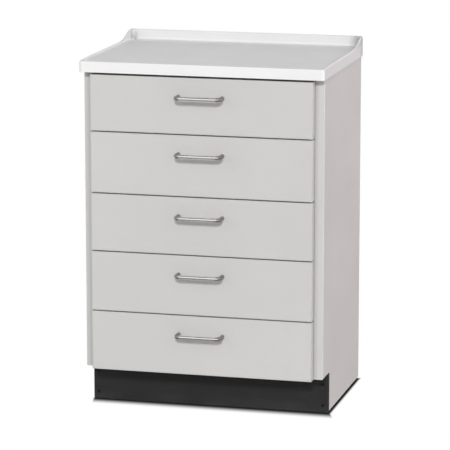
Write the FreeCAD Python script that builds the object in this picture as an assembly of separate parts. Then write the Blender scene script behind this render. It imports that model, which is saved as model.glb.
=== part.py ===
"""Treatment cabinet with five drawers, on a recessed toe kick, under a moulded top.

All sizes are in millimetres. X runs across the front, -Y is the front and +Z is up.
The origin is on the floor, at the middle of the whole footprint with the pulls.
"""

import FreeCAD
import Part
import math
import os

V = FreeCAD.Vector

# Carcass boards
body_width = 600.0
body_depth = 427.0
side_thickness = 25.0
board_thickness = 19.0
side_edge_radius = 3.0

# Toe space and kick board
toe_height = 100.0
toe_depth = 76.0
kick_thickness = 16.0
kick_floor_gap = 1.5
kick_top_gap = 0.5
kick_edge_radius = 1.0

# Glides under the side panels
glide_height = 4.0
glide_radius = 8.0
glide_bevel = 1.0
glide_pin_radius = 2.0
glide_pin_length = 14.0
glide_inset = 45.0

# Back panel, held in grooves of the side panels
back_thickness = 6.0
back_inset = 10.0
back_groove_depth = 8.0
back_groove_clearance = 0.3
back_floor_gap = 8.0

# Deck and the two rails under the top
deck_setback = 3.0
rail_setback = 10.0
rail_width = 80.0
rail_thickness = 19.0

# Moulded top
top_side_overhang = 5.0
top_front_overhang = 30.0
top_lip_height = 24.0
top_skin = 4.0
top_skirt = 5.0
top_board_clearance = 0.3
top_corner_radius = 9.0
top_edge_radius = 3.0
rim_width = 13.0
rim_front_rise = 3.0
rim_rise = 5.0
rim_ramp = 90.0
splash_rise = 26.0
splash_thickness = 14.0
sweep_length = 110.0
sweep_concave_share = 0.8
cove_radius = 4.0
cove_corner_radius = 5.0

# Drawer fronts, with their heights from the top drawer down
front_heights = [137.5, 149.5, 141.5, 147.0, 146.5]
front_thickness = 25.0
front_standoff = 3.0
front_reveal = 23.0
front_gap = 3.0
lip_gap = 5.0
front_edge_radius = 1.5

# Drawer boxes
box_board = 12.0
box_rear_clearance = 14.0
box_top_clearance = 6.0
bottom_thickness = 4.0
bottom_groove_depth = 5.0
bottom_groove_clearance = 0.3
bottom_lift = 10.0

# Roller runners
runner_steel = 1.2
runner_side_gap = 12.5
runner_base_gap = 4.0
runner_front_setback = 2.0
runner_rear_gap = 15.0
runner_flange_tip_gap = 1.1
runner_headroom = 1.2
member_front_setback = 1.0
member_floor_lift = 3.0
member_web_gap = 0.8
member_under_box = 11.0
roller_radius = 7.5
roller_width = 7.0
roller_side_gap = 0.4
roller_run_gap = 0.2
roller_end_inset = 12.0
roller_bay = 24.0
roller_pin_radius = 2.5
roller_bore_clearance = 0.08
roller_pin_head_radius = 4.0
roller_pin_head = 0.8
roller_edge_bevel = 0.6
runner_overlap = 100.0
stop_length = 4.0
stop_height = 2.6
stop_gap = 0.5

# Pulls
pull_centres = 110.0
pull_bar_radius = 4.75
pull_projection = 32.25
pull_bend_radius = 10.0
pull_below_top = 46.0
pull_thread_depth = 12.0

# Screws
screw_clearance = 0.1
pull_screw_radius = 2.0
pull_screw_bite = 9.0
pull_screw_head_radius = 4.0
pull_screw_head = 2.6
fixing_screw_radius = 2.0
fixing_screw_bite = 14.0
fixing_screw_head_radius = 4.0
fixing_screw_head = 2.0
fixing_screw_inset = 60.0
member_screw_radius = 1.75
member_screw_bite = 9.0
member_screw_head_radius = 3.5
member_screw_head = 1.8
member_screw_inset = 45.0
runner_screw_radius = 2.5
runner_screw_bite = 11.0
runner_screw_head_radius = 4.0
runner_screw_head = 1.0
runner_screw_front_inset = 37.0
runner_screw_rear_inset = 60.0
kick_screw_radius = 2.0
kick_screw_bite = 24.0
kick_screw_head_radius = 3.6
kick_screw_head = 1.4
kick_screw_low = 20.0
kick_screw_below_top = 27.0
top_screw_radius = 2.0
top_screw_bite = 16.0
top_screw_head_radius = 4.0
top_screw_head = 2.0
top_screw_end_inset = 60.0
recess_width = 0.9
recess_length_share = 0.62
recess_depth_share = 0.55

# Cam fittings that draw the deck and rails to the side panels
cam_radius = 7.5
cam_height = 12.5
cam_inset = 24.0
cam_clearance = 0.1
cam_slot_width = 2.0
cam_slot_depth = 2.5
cam_edge_inset = 50.0
bolt_radius = 3.0
bolt_bite = 11.0
bolt_neck_radius = 2.0
bolt_neck_length = 4.0
bolt_head_length = 5.0
bolt_mouth_clearance = 0.5

# One overrun serves every cut
overrun = 1.0
same_within = 1e-6

# Places worked out from the sizes above
pull_reach = pull_projection + pull_bar_radius
drawer_count = len(front_heights)
body_height = toe_height + sum(front_heights) + (drawer_count - 1) * front_gap + lip_gap
overall_depth = body_depth + front_standoff + front_thickness + pull_reach
back_y = overall_depth / 2
body_front_y = back_y - body_depth
front_back_y = body_front_y - front_standoff
front_face_y = front_back_y - front_thickness
half_width = body_width / 2
inner_half = half_width - side_thickness
back_panel_rear_y = back_y - back_inset
back_panel_front_y = back_panel_rear_y - back_thickness
notch_y = body_front_y + toe_depth
kick_face_y = notch_y - kick_thickness
deck_top = toe_height + board_thickness
rail_bottom = body_height - rail_thickness

runner_lift = board_thickness + runner_base_gap
box_lift = runner_lift + member_floor_lift + runner_steel
box_height = min(front_heights) + lip_gap - rail_thickness - box_top_clearance - box_lift
box_half = inner_half - runner_side_gap
box_rear_y = back_panel_front_y - box_rear_clearance
box_front_inner_y = front_back_y + box_board
box_back_inner_y = box_rear_y - box_board
box_length = box_rear_y - front_back_y
drawer_travel = box_length - runner_overlap

flange_under = 2 * roller_radius + roller_run_gap
channel_top_under = flange_under + runner_steel + runner_headroom
channel_height = channel_top_under + runner_steel
member_web = runner_side_gap - runner_steel
flange_tip = runner_steel + member_web_gap
runner_front_y = body_front_y + runner_front_setback
runner_rear_y = back_panel_front_y - runner_rear_gap
member_front_y = front_back_y + member_front_setback
front_roller_y = runner_front_y + roller_end_inset
rear_roller_y = box_rear_y - roller_end_inset
rear_roller_lift = runner_steel + roller_run_gap + roller_radius

top_half = half_width + top_side_overhang
top_front_y = body_front_y - top_front_overhang
field_z = body_height + top_lip_height
rim_z = field_z + rim_rise
splash_z = field_z + splash_rise
splash_face_y = back_y - splash_thickness


def block(x0, x1, y0, y1, z0, z1):
    """A box between two corners."""
    return Part.makeBox(x1 - x0, y1 - y0, z1 - z0, V(x0, y0, z0))


def rod(radius, start, end):
    """A round bar between two points."""
    along = end - start
    return Part.makeCylinder(radius, along.Length, start, along)


def prism(points, vector):
    """A flat outline pushed along a vector."""
    return Part.Face(Part.makePolygon(points + points[:1])).extrude(vector)


def mirrored(shape):
    """The same piece on the other side of the cabinet."""
    return shape.mirror(V(0, 0, 0), V(1, 0, 0))


def both_sides(shapes):
    """Pieces of the left side and their mirror images."""
    return shapes + [mirrored(s) for s in shapes]


def edges_where(shape, test):
    """Edges whose two ends both pass a test."""
    return [e for e in shape.Edges if all(test(v.Point) for v in e.Vertexes)]


def near(a, b):
    """Two lengths that are the same, but for rounding."""
    return math.isclose(a, b, abs_tol=same_within)


def write(name, solids):
    """Writes one node as a STEP file."""
    whole = solids[0] if len(solids) == 1 else Part.makeCompound(solids)
    whole.exportStep("parts/" + name + ".step")
    print(name, len(solids), "solids", round(whole.Volume / 1000.0, 1), "cm3")


def screw(tip_seat, direction, radius, length, head_radius, head):
    """A screw with a low head and a cross recess.

    tip_seat is where the head sits, and direction is where the shank goes from there.
    """
    shank = rod(radius, tip_seat, tip_seat + direction * length)
    top = tip_seat - direction * head
    cap = rod(head_radius, top, tip_seat)
    side = V(0, 0, 1) if abs(direction.z) < abs(direction.y) + abs(direction.x) else V(0, 1, 0)
    other = direction.cross(side)
    body = cap.fuse(shank)
    reach = head_radius * recess_length_share
    depth = head * recess_depth_share
    for a, b in ((side, other), (other, side)):
        corner = top - a * reach - b * (recess_width / 2) - direction * overrun
        long_side = a * (2 * reach)
        short_side = b * recess_width
        outline = [corner, corner + long_side, corner + long_side + short_side, corner + short_side]
        body = body.cut(prism(outline, direction * (depth + overrun)))
    return body.removeSplitter()


# Drawer places, from the top drawer down
def front_top(index):
    return body_height - lip_gap - sum(front_heights[:index]) - index * front_gap


def front_bottom(index):
    return front_top(index) - front_heights[index]


def runner_bottom(index):
    return front_bottom(index) + runner_lift


def box_bottom(index):
    return front_bottom(index) + box_lift


def pull_z(index):
    return front_top(index) - pull_below_top


# Places that several pieces share
def cam_places():
    """Middle of each cam along Y, with the underside and top of the board that holds it."""
    deck_front = body_front_y + deck_setback
    rail_front = body_front_y + rail_setback
    rail_rear = back_panel_front_y - rail_width
    return [
        (deck_front + cam_edge_inset, toe_height, deck_top),
        (back_panel_front_y - cam_edge_inset, toe_height, deck_top),
        (rail_front + rail_width / 2, rail_bottom, body_height),
        (rail_rear + rail_width / 2, rail_bottom, body_height),
    ]


def runner_screw_ys():
    return [body_front_y + runner_screw_front_inset, runner_rear_y - runner_screw_rear_inset]


def runner_screw_z(index):
    return runner_bottom(index) + rear_roller_lift


def member_screw_ys():
    return [front_back_y + member_screw_inset, box_rear_y - member_screw_inset]


def kick_screw_zs():
    return [kick_screw_low, toe_height - kick_screw_below_top]


def glide_ys():
    return [notch_y + glide_inset, back_y - glide_inset]


def bolt_hole(y, z):
    """The bore for one cam bolt, in the left side panel and in the end of the board."""
    radius = bolt_radius + cam_clearance
    start = V(-inner_half - bolt_bite - cam_clearance, y, z)
    return rod(radius, start, V(-inner_half + cam_inset, y, z))


def left_side_panel():
    """The notched side board with its grooved back edge and its bores."""
    outer, inner = -half_width, -inner_half
    outline = [
        V(outer, notch_y, glide_height),
        V(outer, back_y, glide_height),
        V(outer, back_y, body_height),
        V(outer, body_front_y, body_height),
        V(outer, body_front_y, toe_height),
        V(outer, notch_y, toe_height),
    ]
    board = prism(outline, V(side_thickness, 0, 0))
    front_edges = edges_where(board, lambda p: near(p.y, body_front_y) and near(p.x, outer))
    front_edges += edges_where(board, lambda p: near(p.y, body_front_y) and near(p.x, inner))
    board = board.makeFillet(side_edge_radius, front_edges)
    groove = block(
        inner - back_groove_depth, inner + overrun,
        back_panel_front_y, back_panel_rear_y + back_groove_clearance,
        glide_height - overrun, body_height + overrun,
    )
    board = board.cut(groove)
    cuts = []
    for y, low, high in cam_places():
        cuts.append(bolt_hole(y, (low + high) / 2))
    for index in range(drawer_count):
        for y in runner_screw_ys():
            z = runner_screw_z(index)
            end = V(inner - runner_screw_bite - screw_clearance, y, z)
            cuts.append(rod(runner_screw_radius + screw_clearance, end, V(inner + overrun, y, z)))
    middle = (outer + inner) / 2
    for z in kick_screw_zs():
        end = V(middle, notch_y + kick_screw_bite + screw_clearance, z)
        cuts.append(rod(kick_screw_radius + screw_clearance, V(middle, notch_y - overrun, z), end))
    for y in glide_ys():
        end = V(middle, y, glide_height + glide_pin_length + screw_clearance)
        cuts.append(rod(glide_pin_radius + screw_clearance, V(middle, y, glide_height - overrun), end))
    return board.cut(cuts)


def cam_board(y0, y1, z0, z1, places, screws):
    """A board between the side panels, with cam pockets in its underside and any screw holes."""
    board = block(-inner_half, inner_half, y0, y1, z0, z1)
    cuts = []
    for y, low, high in places:
        z = (low + high) / 2
        pocket_top = z + cam_height / 2 + cam_clearance
        centre = V(-inner_half + cam_inset, y, low - overrun)
        pocket = rod(cam_radius + cam_clearance, centre, V(centre.x, y, pocket_top))
        bore = rod(
            bolt_radius + bolt_mouth_clearance,
            V(-inner_half - overrun, y, z),
            V(-inner_half + cam_inset, y, z),
        )
        cuts += both_sides([pocket, bore])
    for x, y in screws:
        cuts.append(rod(top_screw_radius + screw_clearance, V(x, y, z0 - overrun), V(x, y, z1 + overrun)))
    return board.cut(cuts)


def top_screw_xs():
    return [-inner_half + top_screw_end_inset, 0, inner_half - top_screw_end_inset]


def rail_spans():
    """Front and back of the front rail and of the rear rail."""
    front = body_front_y + rail_setback
    return [(front, front + rail_width), (back_panel_front_y - rail_width, back_panel_front_y)]


def cam_locks():
    """Cams in the boards and the bolts that they pull."""
    pieces = []
    for y, low, high in cam_places():
        z = (low + high) / 2
        x = -inner_half + cam_inset
        cam = rod(cam_radius, V(x, y, z - cam_height / 2), V(x, y, z + cam_height / 2))
        mouth = rod(
            bolt_radius + bolt_mouth_clearance,
            V(x - cam_radius - overrun, y, z),
            V(x + bolt_head_length, y, z),
        )
        slot = block(
            x - cam_radius, x + cam_radius,
            y - cam_slot_width / 2, y + cam_slot_width / 2,
            z - cam_height / 2 - overrun, z - cam_height / 2 + cam_slot_depth,
        )
        pieces.append(cam.cut(mouth).cut(slot))
        head_start = x - bolt_head_length / 2
        neck_start = head_start - bolt_neck_length
        bolt = rod(bolt_radius, V(-inner_half - bolt_bite, y, z), V(neck_start, y, z))
        bolt = bolt.fuse(rod(bolt_neck_radius, V(neck_start, y, z), V(head_start, y, z)))
        bolt = bolt.fuse(rod(bolt_radius, V(head_start, y, z), V(head_start + bolt_head_length, y, z)))
        pieces.append(bolt)
    return both_sides(pieces)


def back_panel():
    reach = inner_half + back_groove_depth - back_groove_clearance
    return block(-reach, reach, back_panel_front_y, back_panel_rear_y, back_floor_gap, body_height)


def toe_kick():
    board = block(-half_width, half_width, kick_face_y, notch_y, kick_floor_gap, toe_height - kick_top_gap)
    board = board.makeFillet(kick_edge_radius, edges_where(board, lambda p: near(p.y, kick_face_y)))
    x = half_width - side_thickness / 2
    cuts = []
    for z in kick_screw_zs():
        start = V(-x, kick_face_y - overrun, z)
        cuts.append(rod(kick_screw_radius + screw_clearance, start, V(-x, notch_y + overrun, z)))
    return board.cut(both_sides(cuts))


def toe_kick_screws():
    x = half_width - side_thickness / 2
    length = kick_thickness + kick_screw_bite
    screws = []
    for z in kick_screw_zs():
        seat = V(-x, kick_face_y, z)
        screws.append(
            screw(seat, V(0, 1, 0), kick_screw_radius, length, kick_screw_head_radius, kick_screw_head)
        )
    return both_sides(screws)


def floor_glides():
    x = half_width - side_thickness / 2
    glides = []
    for y in glide_ys():
        foot = rod(glide_radius, V(-x, y, 0), V(-x, y, glide_height))
        foot = foot.makeChamfer(glide_bevel, edges_where(foot, lambda p: near(p.z, 0)))
        pin = rod(glide_pin_radius, V(-x, y, glide_height), V(-x, y, glide_height + glide_pin_length))
        glides.append(foot.fuse(pin))
    return both_sides(glides)


def arc(start, middle, end):
    return Part.Arc(start, middle, end).toShape()


def line(start, end):
    return Part.LineSegment(start, end).toShape()


def top_profile():
    """Side view of the moulded top: nose, low rim, then a sweep that hollows and rounds up to the splash."""
    climb = splash_z - rim_z
    turn = 2 * math.atan(climb / sweep_length)
    radii = sweep_length / math.sin(turn)
    hollow = radii * sweep_concave_share
    crown = radii - hollow
    sweep_start_y = splash_face_y - sweep_length

    def at(y, z):
        return V(-top_half, y, z)

    def on_hollow(angle):
        return at(sweep_start_y + hollow * math.sin(angle), rim_z + hollow * (1 - math.cos(angle)))

    def on_crown(angle):
        return at(splash_face_y - crown * math.sin(angle), splash_z - crown * (1 - math.cos(angle)))

    nose = at(top_front_y, field_z + rim_front_rise)
    ramp_end = at(top_front_y + rim_ramp, rim_z)
    ramp_climb = ramp_end.z - nose.z
    ramp_radius = (rim_ramp ** 2 + ramp_climb ** 2) / (2 * ramp_climb)
    half_ramp = math.asin(rim_ramp / ramp_radius) / 2
    ramp_middle = at(
        ramp_end.y - ramp_radius * math.sin(half_ramp),
        rim_z - ramp_radius * (1 - math.cos(half_ramp)),
    )
    top_back = at(back_y, splash_z)
    low_back = at(back_y, body_height)
    low_front = at(top_front_y, body_height)
    edges = [
        arc(nose, ramp_middle, ramp_end),
        line(ramp_end, on_hollow(0)),
        arc(on_hollow(0), on_hollow(turn / 2), on_hollow(turn)),
        arc(on_crown(turn), on_crown(turn / 2), on_crown(0)),
        line(on_crown(0), top_back),
        line(top_back, low_back),
        line(low_back, low_front),
        line(low_front, nose),
    ]
    return Part.Face(Part.Wire(edges))


def middle_of(edge):
    return edge.valueAt((edge.FirstParameter + edge.LastParameter) / 2)


def upright_edges(shape):
    return [e for e in shape.Edges if near(abs(e.tangentAt(e.FirstParameter).z), 1)]


def level_edges(shape, z):
    return edges_where(shape, lambda p: near(p.z, z))


def moulded_top():
    """One moulded shell: skirts, front lip, side rims that sweep up, and the splash."""
    body = top_profile().extrude(V(2 * top_half, 0, 0))
    plan = block(-top_half, top_half, top_front_y, back_y, body_height, splash_z + overrun)
    plan = plan.makeFillet(top_corner_radius, upright_edges(plan))
    body = body.common(plan)
    walls = Part.makeCompound([f for f in plan.Faces if near(f.normalAt(0, 0).z, 0)])
    crest = [
        e for e in body.Edges
        if middle_of(e).z > field_z and e not in upright_edges(body)
        and Part.Vertex(middle_of(e)).distToShape(walls)[0] < same_within
    ]
    body = body.makeFillet(top_edge_radius, crest)
    tray_half = top_half - rim_width
    tray = block(-tray_half, tray_half, top_front_y + rim_width, splash_face_y, field_z, splash_z + overrun)
    tray = tray.makeFillet(cove_corner_radius, upright_edges(tray))
    tray = tray.makeFillet(cove_radius, level_edges(tray, field_z))
    body = body.cut(tray)
    pocket = block(
        -top_half + top_skirt, top_half - top_skirt,
        top_front_y + top_skirt, back_y - top_skirt,
        body_height - overrun, field_z - top_skin,
    )
    return body.cut(pocket)


def top_board():
    half = top_half - top_skirt - top_board_clearance
    board = block(
        -half, half,
        top_front_y + top_skirt + top_board_clearance, back_y - top_skirt - top_board_clearance,
        body_height, field_z - top_skin,
    )
    cuts = []
    for x, y in top_screw_places():
        end = V(x, y, body_height + top_screw_bite + screw_clearance)
        cuts.append(rod(top_screw_radius + screw_clearance, V(x, y, body_height - overrun), end))
    return board.cut(cuts)


def top_screw_places():
    return [(x, (y0 + y1) / 2) for y0, y1 in rail_spans() for x in top_screw_xs()]


def top_screws():
    length = rail_thickness + top_screw_bite
    return [
        screw(
            V(x, y, rail_bottom), V(0, 0, 1),
            top_screw_radius, length, top_screw_head_radius, top_screw_head,
        )
        for x, y in top_screw_places()
    ]


def runner_point(u, y, w, base):
    """A point of a left runner: u from the side panel's inner face, w above the channel's underside."""
    return V(-inner_half + u, y, base + w)


def cabinet_runner(base):
    """The left channel on the side panel, with its front roller's pin and its stop."""
    y0, y1 = runner_front_y, runner_rear_y
    wall = runner_steel
    reach = member_web - runner_flange_tip_gap
    left = -inner_half
    web = block(left, left + wall, y0, y1, base, base + channel_height)
    floor = block(left, left + reach, y0 + roller_bay, y1, base, base + wall)
    roof = block(left, left + reach, y0 + roller_bay, y1, base + channel_top_under, base + channel_height)
    stop_y = rear_roller_y - drawer_travel - roller_radius - stop_gap
    bump = block(
        left + flange_tip, left + reach,
        stop_y - stop_length, stop_y,
        base + wall, base + wall + stop_height,
    )
    pin_end = wall + 2 * roller_side_gap + roller_width
    pin = rod(
        roller_pin_radius,
        runner_point(wall, front_roller_y, roller_radius, base),
        runner_point(pin_end, front_roller_y, roller_radius, base),
    )
    head = rod(
        roller_pin_head_radius,
        runner_point(pin_end, front_roller_y, roller_radius, base),
        runner_point(pin_end + roller_pin_head, front_roller_y, roller_radius, base),
    )
    channel = web.multiFuse([floor, roof, bump, pin, head]).removeSplitter()
    holes = []
    for y in runner_screw_ys():
        start = runner_point(-overrun, y, rear_roller_lift, base)
        end = runner_point(wall + overrun, y, rear_roller_lift, base)
        holes.append(rod(runner_screw_radius + screw_clearance, start, end))
    return channel.cut(holes)


def drawer_member(index):
    """The left rail under the drawer box, with its rear roller's pin."""
    base = runner_bottom(index)
    wall = runner_steel
    left = -inner_half
    y0, y1 = member_front_y, box_rear_y
    web_x = left + member_web
    under = base + member_floor_lift
    web = block(web_x, web_x + wall, y0, y1, under, base + flange_under + wall)
    shelf = block(web_x, web_x + wall + member_under_box, y0, y1, under, under + wall)
    flange = block(
        left + flange_tip, web_x + wall,
        y0, y1 - roller_bay,
        base + flange_under, base + flange_under + wall,
    )
    pin_end = member_web - 2 * roller_side_gap - roller_width
    pin = rod(
        roller_pin_radius,
        runner_point(member_web, rear_roller_y, rear_roller_lift, base),
        runner_point(pin_end, rear_roller_y, rear_roller_lift, base),
    )
    head = rod(
        roller_pin_head_radius,
        runner_point(pin_end, rear_roller_y, rear_roller_lift, base),
        runner_point(pin_end - roller_pin_head, rear_roller_y, rear_roller_lift, base),
    )
    member = web.multiFuse([shelf, flange, pin, head]).removeSplitter()
    x = -box_half + box_board / 2
    holes = []
    for y in member_screw_ys():
        start = V(x, y, under - overrun)
        end = V(x, y, under + wall + overrun)
        holes.append(rod(member_screw_radius + screw_clearance, start, end))
    return member.cut(holes)


def roller(inner_u, y, lift, base):
    """A nylon roller with a running fit on its pin, from inner_u to its width further in."""
    outer_u = inner_u + roller_width
    wheel = rod(roller_radius, runner_point(inner_u, y, lift, base), runner_point(outer_u, y, lift, base))
    wheel = wheel.makeChamfer(roller_edge_bevel, [e for e in wheel.Edges if len(e.Vertexes) == 1])
    bore = rod(
        roller_pin_radius + roller_bore_clearance,
        runner_point(inner_u - overrun, y, lift, base),
        runner_point(outer_u + overrun, y, lift, base),
    )
    return wheel.cut(bore)


def front_rollers(index):
    inner_u = runner_steel + roller_side_gap
    return both_sides([roller(inner_u, front_roller_y, roller_radius, runner_bottom(index))])


def rear_rollers(index):
    inner_u = member_web - roller_side_gap - roller_width
    return both_sides([roller(inner_u, rear_roller_y, rear_roller_lift, runner_bottom(index))])


def runner_screws():
    screws = []
    length = runner_steel + runner_screw_bite
    for index in range(drawer_count):
        for y in runner_screw_ys():
            seat = V(-inner_half + runner_steel, y, runner_screw_z(index))
            screws.append(screw(
                seat, V(-1, 0, 0),
                runner_screw_radius, length, runner_screw_head_radius, runner_screw_head,
            ))
    return both_sides(screws)


def fixing_screw_xs():
    reach = box_half - box_board - fixing_screw_inset
    return [-reach, reach]


def fixing_screw_z(index):
    return box_bottom(index) + box_height / 2


def pull_bores(index, y0, y1):
    """Bores for the two pull screws of one drawer, between two places along Y."""
    z = pull_z(index)
    radius = pull_screw_radius + screw_clearance
    return [rod(radius, V(x, y0, z), V(x, y1, z)) for x in (-pull_centres / 2, pull_centres / 2)]


def drawer_front(index):
    reach = half_width - front_reveal
    board = block(-reach, reach, front_face_y, front_back_y, front_bottom(index), front_top(index))
    board = board.makeFillet(front_edge_radius, edges_where(board, lambda p: near(p.y, front_face_y)))
    cuts = pull_bores(index, front_face_y - overrun, front_back_y + overrun)
    z = fixing_screw_z(index)
    for x in fixing_screw_xs():
        end = V(x, front_back_y - fixing_screw_bite - screw_clearance, z)
        cuts.append(rod(fixing_screw_radius + screw_clearance, end, V(x, front_back_y + overrun, z)))
    return board.cut(cuts)


def bottom_groove(index):
    """The space that the drawer bottom's edge runs in, cut from all four box boards."""
    reach = box_half - box_board + bottom_groove_depth
    low = box_bottom(index) + bottom_lift
    return block(
        -reach, reach,
        box_front_inner_y - bottom_groove_depth, box_back_inner_y + bottom_groove_depth,
        low, low + bottom_thickness + bottom_groove_clearance,
    )


def drawer_box_sides(index):
    low = box_bottom(index)
    side = block(-box_half, -box_half + box_board, front_back_y, box_rear_y, low, low + box_height)
    side = side.cut(bottom_groove(index))
    x = -box_half + box_board / 2
    cuts = []
    for y in member_screw_ys():
        end = V(x, y, low + member_screw_bite + screw_clearance)
        cuts.append(rod(member_screw_radius + screw_clearance, V(x, y, low - overrun), end))
    return both_sides([side.cut(cuts)])


def drawer_box_ends(index):
    low = box_bottom(index)
    reach = box_half - box_board
    groove = bottom_groove(index)
    front = block(-reach, reach, front_back_y, box_front_inner_y, low, low + box_height).cut(groove)
    back = block(-reach, reach, box_back_inner_y, box_rear_y, low, low + box_height).cut(groove)
    cuts = pull_bores(index, front_back_y - overrun, box_front_inner_y + overrun)
    z = fixing_screw_z(index)
    for x in fixing_screw_xs():
        start = V(x, front_back_y - overrun, z)
        cuts.append(rod(fixing_screw_radius + screw_clearance, start, V(x, box_front_inner_y + overrun, z)))
    return [front.cut(cuts), back]


def drawer_bottom(index):
    margin = bottom_groove_depth - bottom_groove_clearance
    reach = box_half - box_board + margin
    low = box_bottom(index) + bottom_lift
    return block(
        -reach, reach,
        box_front_inner_y - margin, box_back_inner_y + margin,
        low, low + bottom_thickness,
    )


def drawer_screws(index):
    """Pull screws, fixing screws and runner screws of one drawer."""
    screws = []
    z = pull_z(index)
    length = box_board + front_thickness + pull_screw_bite
    for x in (-pull_centres / 2, pull_centres / 2):
        seat = V(x, box_front_inner_y, z)
        screws.append(
            screw(seat, V(0, -1, 0), pull_screw_radius, length, pull_screw_head_radius, pull_screw_head)
        )
    z = fixing_screw_z(index)
    length = box_board + fixing_screw_bite
    for x in fixing_screw_xs():
        seat = V(x, box_front_inner_y, z)
        screws.append(screw(
            seat, V(0, -1, 0),
            fixing_screw_radius, length, fixing_screw_head_radius, fixing_screw_head,
        ))
    x = -box_half + box_board / 2
    length = runner_steel + member_screw_bite
    under = runner_bottom(index) + member_floor_lift
    rail_screws = []
    for y in member_screw_ys():
        seat = V(x, y, under)
        rail_screws.append(
            screw(seat, V(0, 0, 1), member_screw_radius, length, member_screw_head_radius, member_screw_head)
        )
    return screws + both_sides(rail_screws)


def drawer_pull(index):
    """A round bar bent to a bow, with a threaded bore in each foot."""
    z = pull_z(index)
    x = pull_centres / 2
    foot_y = front_face_y
    bar_y = front_face_y - pull_projection
    bend = pull_bend_radius
    inset = bend * (1 - math.cos(math.pi / 4))
    left = [
        V(-x, foot_y, z),
        V(-x, bar_y + bend, z),
        V(-x + inset, bar_y + inset, z),
        V(-x + bend, bar_y, z),
    ]
    right = [V(-p.x, p.y, p.z) for p in left]
    path = Part.Wire([
        line(left[0], left[1]),
        arc(left[1], left[2], left[3]),
        line(left[3], right[3]),
        arc(right[3], right[2], right[1]),
        line(right[1], right[0]),
    ])
    ring = Part.Wire([Part.Circle(left[0], V(0, 1, 0), pull_bar_radius).toShape()])
    bar = path.makePipeShell([ring], True, False)
    bores = []
    for foot in (left[0], right[0]):
        start = foot + V(0, overrun, 0)
        bores.append(rod(pull_screw_radius + screw_clearance, start, foot - V(0, pull_thread_depth, 0)))
    return bar.cut(bores)


def build():
    os.makedirs("parts", exist_ok=True)
    side = left_side_panel()
    write("left_side_panel", [side])
    write("right_side_panel", [mirrored(side)])
    places = cam_places()
    deck_y0 = body_front_y + deck_setback
    write("deck_panel", [cam_board(deck_y0, back_panel_front_y, toe_height, deck_top, places[:2], [])])
    screws = top_screw_places()
    spans = rail_spans()
    half_count = len(screws) // 2
    front_rail = cam_board(*spans[0], rail_bottom, body_height, places[2:3], screws[:half_count])
    write("top_front_rail", [front_rail])
    rear_rail = cam_board(*spans[1], rail_bottom, body_height, places[3:], screws[half_count:])
    write("top_rear_rail", [rear_rail])
    write("cam_locks", cam_locks())
    write("back_panel", [back_panel()])
    write("toe_kick", [toe_kick()])
    write("toe_kick_screws", toe_kick_screws())
    write("floor_glides", floor_glides())
    write("moulded_top", [moulded_top()])
    write("top_board", [top_board()])
    write("top_screws", top_screws())
    channels = both_sides([cabinet_runner(runner_bottom(i)) for i in range(drawer_count)])
    write("cabinet_runners", channels)
    write("runner_screws", runner_screws())
    for index in range(drawer_count):
        name = "drawer_" + str(index + 1)
        write(name + "_front", [drawer_front(index)])
        write(name + "_box_sides", drawer_box_sides(index))
        write(name + "_box_ends", drawer_box_ends(index))
        write(name + "_bottom", [drawer_bottom(index)])
        write(name + "_pull", [drawer_pull(index)])
        write(name + "_screws", drawer_screws(index))
        write(name + "_runners", both_sides([drawer_member(index)]))
        write(name + "_rear_rollers", rear_rollers(index))
        write(name + "_front_rollers", front_rollers(index))


build()
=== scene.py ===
"""Finish and light for a treatment cabinet with five drawers under a moulded top.

Lengths are in metres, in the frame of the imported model: X runs across the front,
-Y is the front and +Z is up.
"""

import math

import bmesh
import bpy
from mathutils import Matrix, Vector


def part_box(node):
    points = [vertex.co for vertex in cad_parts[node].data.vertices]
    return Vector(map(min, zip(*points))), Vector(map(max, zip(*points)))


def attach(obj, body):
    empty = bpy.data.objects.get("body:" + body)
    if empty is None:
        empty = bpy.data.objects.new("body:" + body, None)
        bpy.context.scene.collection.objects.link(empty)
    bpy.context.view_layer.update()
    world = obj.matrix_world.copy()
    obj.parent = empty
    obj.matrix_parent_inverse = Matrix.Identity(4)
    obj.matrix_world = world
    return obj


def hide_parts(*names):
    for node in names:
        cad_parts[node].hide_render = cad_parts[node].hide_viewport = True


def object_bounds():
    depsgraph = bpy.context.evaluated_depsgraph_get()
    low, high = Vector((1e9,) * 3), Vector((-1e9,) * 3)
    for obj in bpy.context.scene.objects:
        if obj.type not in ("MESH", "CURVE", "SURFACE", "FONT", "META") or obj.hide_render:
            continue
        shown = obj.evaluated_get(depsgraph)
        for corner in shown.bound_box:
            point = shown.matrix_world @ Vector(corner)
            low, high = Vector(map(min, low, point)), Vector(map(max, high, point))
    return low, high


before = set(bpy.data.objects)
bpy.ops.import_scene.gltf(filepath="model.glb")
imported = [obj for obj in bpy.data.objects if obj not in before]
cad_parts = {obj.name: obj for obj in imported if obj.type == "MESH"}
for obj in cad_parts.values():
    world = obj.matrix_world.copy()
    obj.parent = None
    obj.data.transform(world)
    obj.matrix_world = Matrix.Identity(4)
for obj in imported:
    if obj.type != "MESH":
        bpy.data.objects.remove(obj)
packed_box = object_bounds()

MM = 0.001
DRAWERS = range(1, 6)
PLAIN = (1.0, 1.0, 1.0)
touching = 1e-6

# Laminate boards and their edge bands
band_thickness = 2.0 * MM
band_radius = 1.5 * MM
side_band_thickness = 3.0 * MM
side_edge_radius = 2.91 * MM
# Distances from the middle of the cabinet where the side bands get painted shade beside the drawer fronts
left_shade_span = (281.0 * MM, 300.0 * MM)
right_shade_span = (273.0 * MM, 289.0 * MM)
seam = 0.12 * MM
toe_height = 100.0 * MM
toe_depth = 76.0 * MM
# Height over which the kick board is lighter: patchy floor dust with painted light
kick_dust_and_light_height = 30.0 * MM
arris = 0.4 * MM
arris_segments = 2
band_segments = 4
side_edge_segments = 5

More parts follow.
